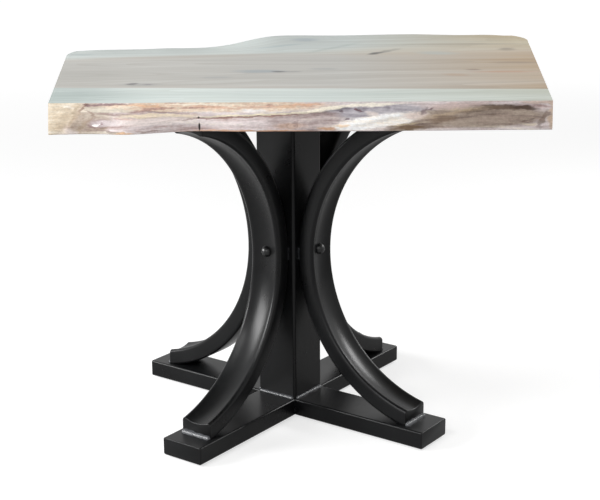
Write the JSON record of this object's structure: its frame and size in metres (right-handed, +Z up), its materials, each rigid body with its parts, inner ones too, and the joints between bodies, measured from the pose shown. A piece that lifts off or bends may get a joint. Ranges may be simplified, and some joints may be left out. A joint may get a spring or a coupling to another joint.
{
  "type": "pedestal table",
  "caption": "Live-edge hardwood slab table on a black welded steel pedestal: square post, bowed tube legs and a cross of flat tube feet on levelling glides.",
  "frame": {"origin": "on the floor under the middle of the slab's outline; the post's axis stands at x = -0.0397, y = -0.077", "axes": "+X along the grain from the left end to the right end, +Y from the front edge to the back edge, +Z up"},
  "size_m": [1.1028, 1.0841, 0.773],
  "materials": {
    "slab_wood": "clear matt finish on pale hardwood, grey-brown heart and pale sapwood, natural edges front and back",
    "steel_black": "satin black powder coat on welded mild steel tube and flat bar",
    "weld_black": "rippled weld bead under the same satin black powder coat",
    "bolt_black": "satin black coated domed steel bolt",
    "zinc_steel": "zinc plated steel fastener",
    "pad_nylon": "matt black moulded nylon pad"
  },
  "bodies": {
    "table": {"top_board_front": "slab_wood", "top_board_middle": "slab_wood", "top_board_rear": "slab_wood", "mount_bar_long": "steel_black", "mount_bar_front": "steel_black", "mount_bar_rear": "steel_black", "center_post": "steel_black", "foot_tube_long": "steel_black", "foot_tube_front": "steel_black", "foot_tube_rear": "steel_black", "foot_cap_front_right": "steel_black", "foot_cap_rear_right": "steel_black", "foot_cap_rear_left": "steel_black", "foot_cap_front_left": "steel_black", "leg_front_right": "steel_black", "leg_rear_right": "steel_black", "leg_rear_left": "steel_black", "leg_front_left": "steel_black", "toe_plate_front_right": "steel_black", "toe_plate_rear_right": "steel_black", "toe_plate_rear_left": "steel_black", "toe_plate_front_left": "steel_black", "head_plate_front_right": "steel_black", "head_plate_rear_right": "steel_black", "head_plate_rear_left": "steel_black", "head_plate_front_left": "steel_black", "weld_toes": "weld_black", "weld_heads": "weld_black", "weld_post_base": "weld_black", "weld_post_top": "weld_black", "weld_foot_corners": "weld_black", "weld_stitches": "weld_black", "leg_bolts": "bolt_black", "leg_nuts": "zinc_steel", "foot_nuts": "zinc_steel", "top_inserts": "zinc_steel", "top_screws": "zinc_steel", "top_washers": "zinc_steel"},
    "glide_front_right": {"glide_pad_front_right": "pad_nylon", "glide_stem_front_right": "zinc_steel"},
    "glide_rear_right": {"glide_pad_rear_right": "pad_nylon", "glide_stem_rear_right": "zinc_steel"},
    "glide_rear_left": {"glide_pad_rear_left": "pad_nylon", "glide_stem_rear_left": "zinc_steel"},
    "glide_front_left": {"glide_pad_front_left": "pad_nylon", "glide_stem_front_left": "zinc_steel"}
  },
  "joints": [
    {"name": "glide_front_right_screw", "type": "slide", "parent": "table", "child": "glide_front_right", "axis": [0, 0, -1], "range_m": [0, 0.012]},
    {"name": "glide_rear_right_screw", "type": "slide", "parent": "table", "child": "glide_rear_right", "axis": [0, 0, -1], "range_m": [0, 0.012]},
    {"name": "glide_rear_left_screw", "type": "slide", "parent": "table", "child": "glide_rear_left", "axis": [0, 0, -1], "range_m": [0, 0.012]},
    {"name": "glide_front_left_screw", "type": "slide", "parent": "table", "child": "glide_front_left", "axis": [0, 0, -1], "range_m": [0, 0.012]}
  ]
}
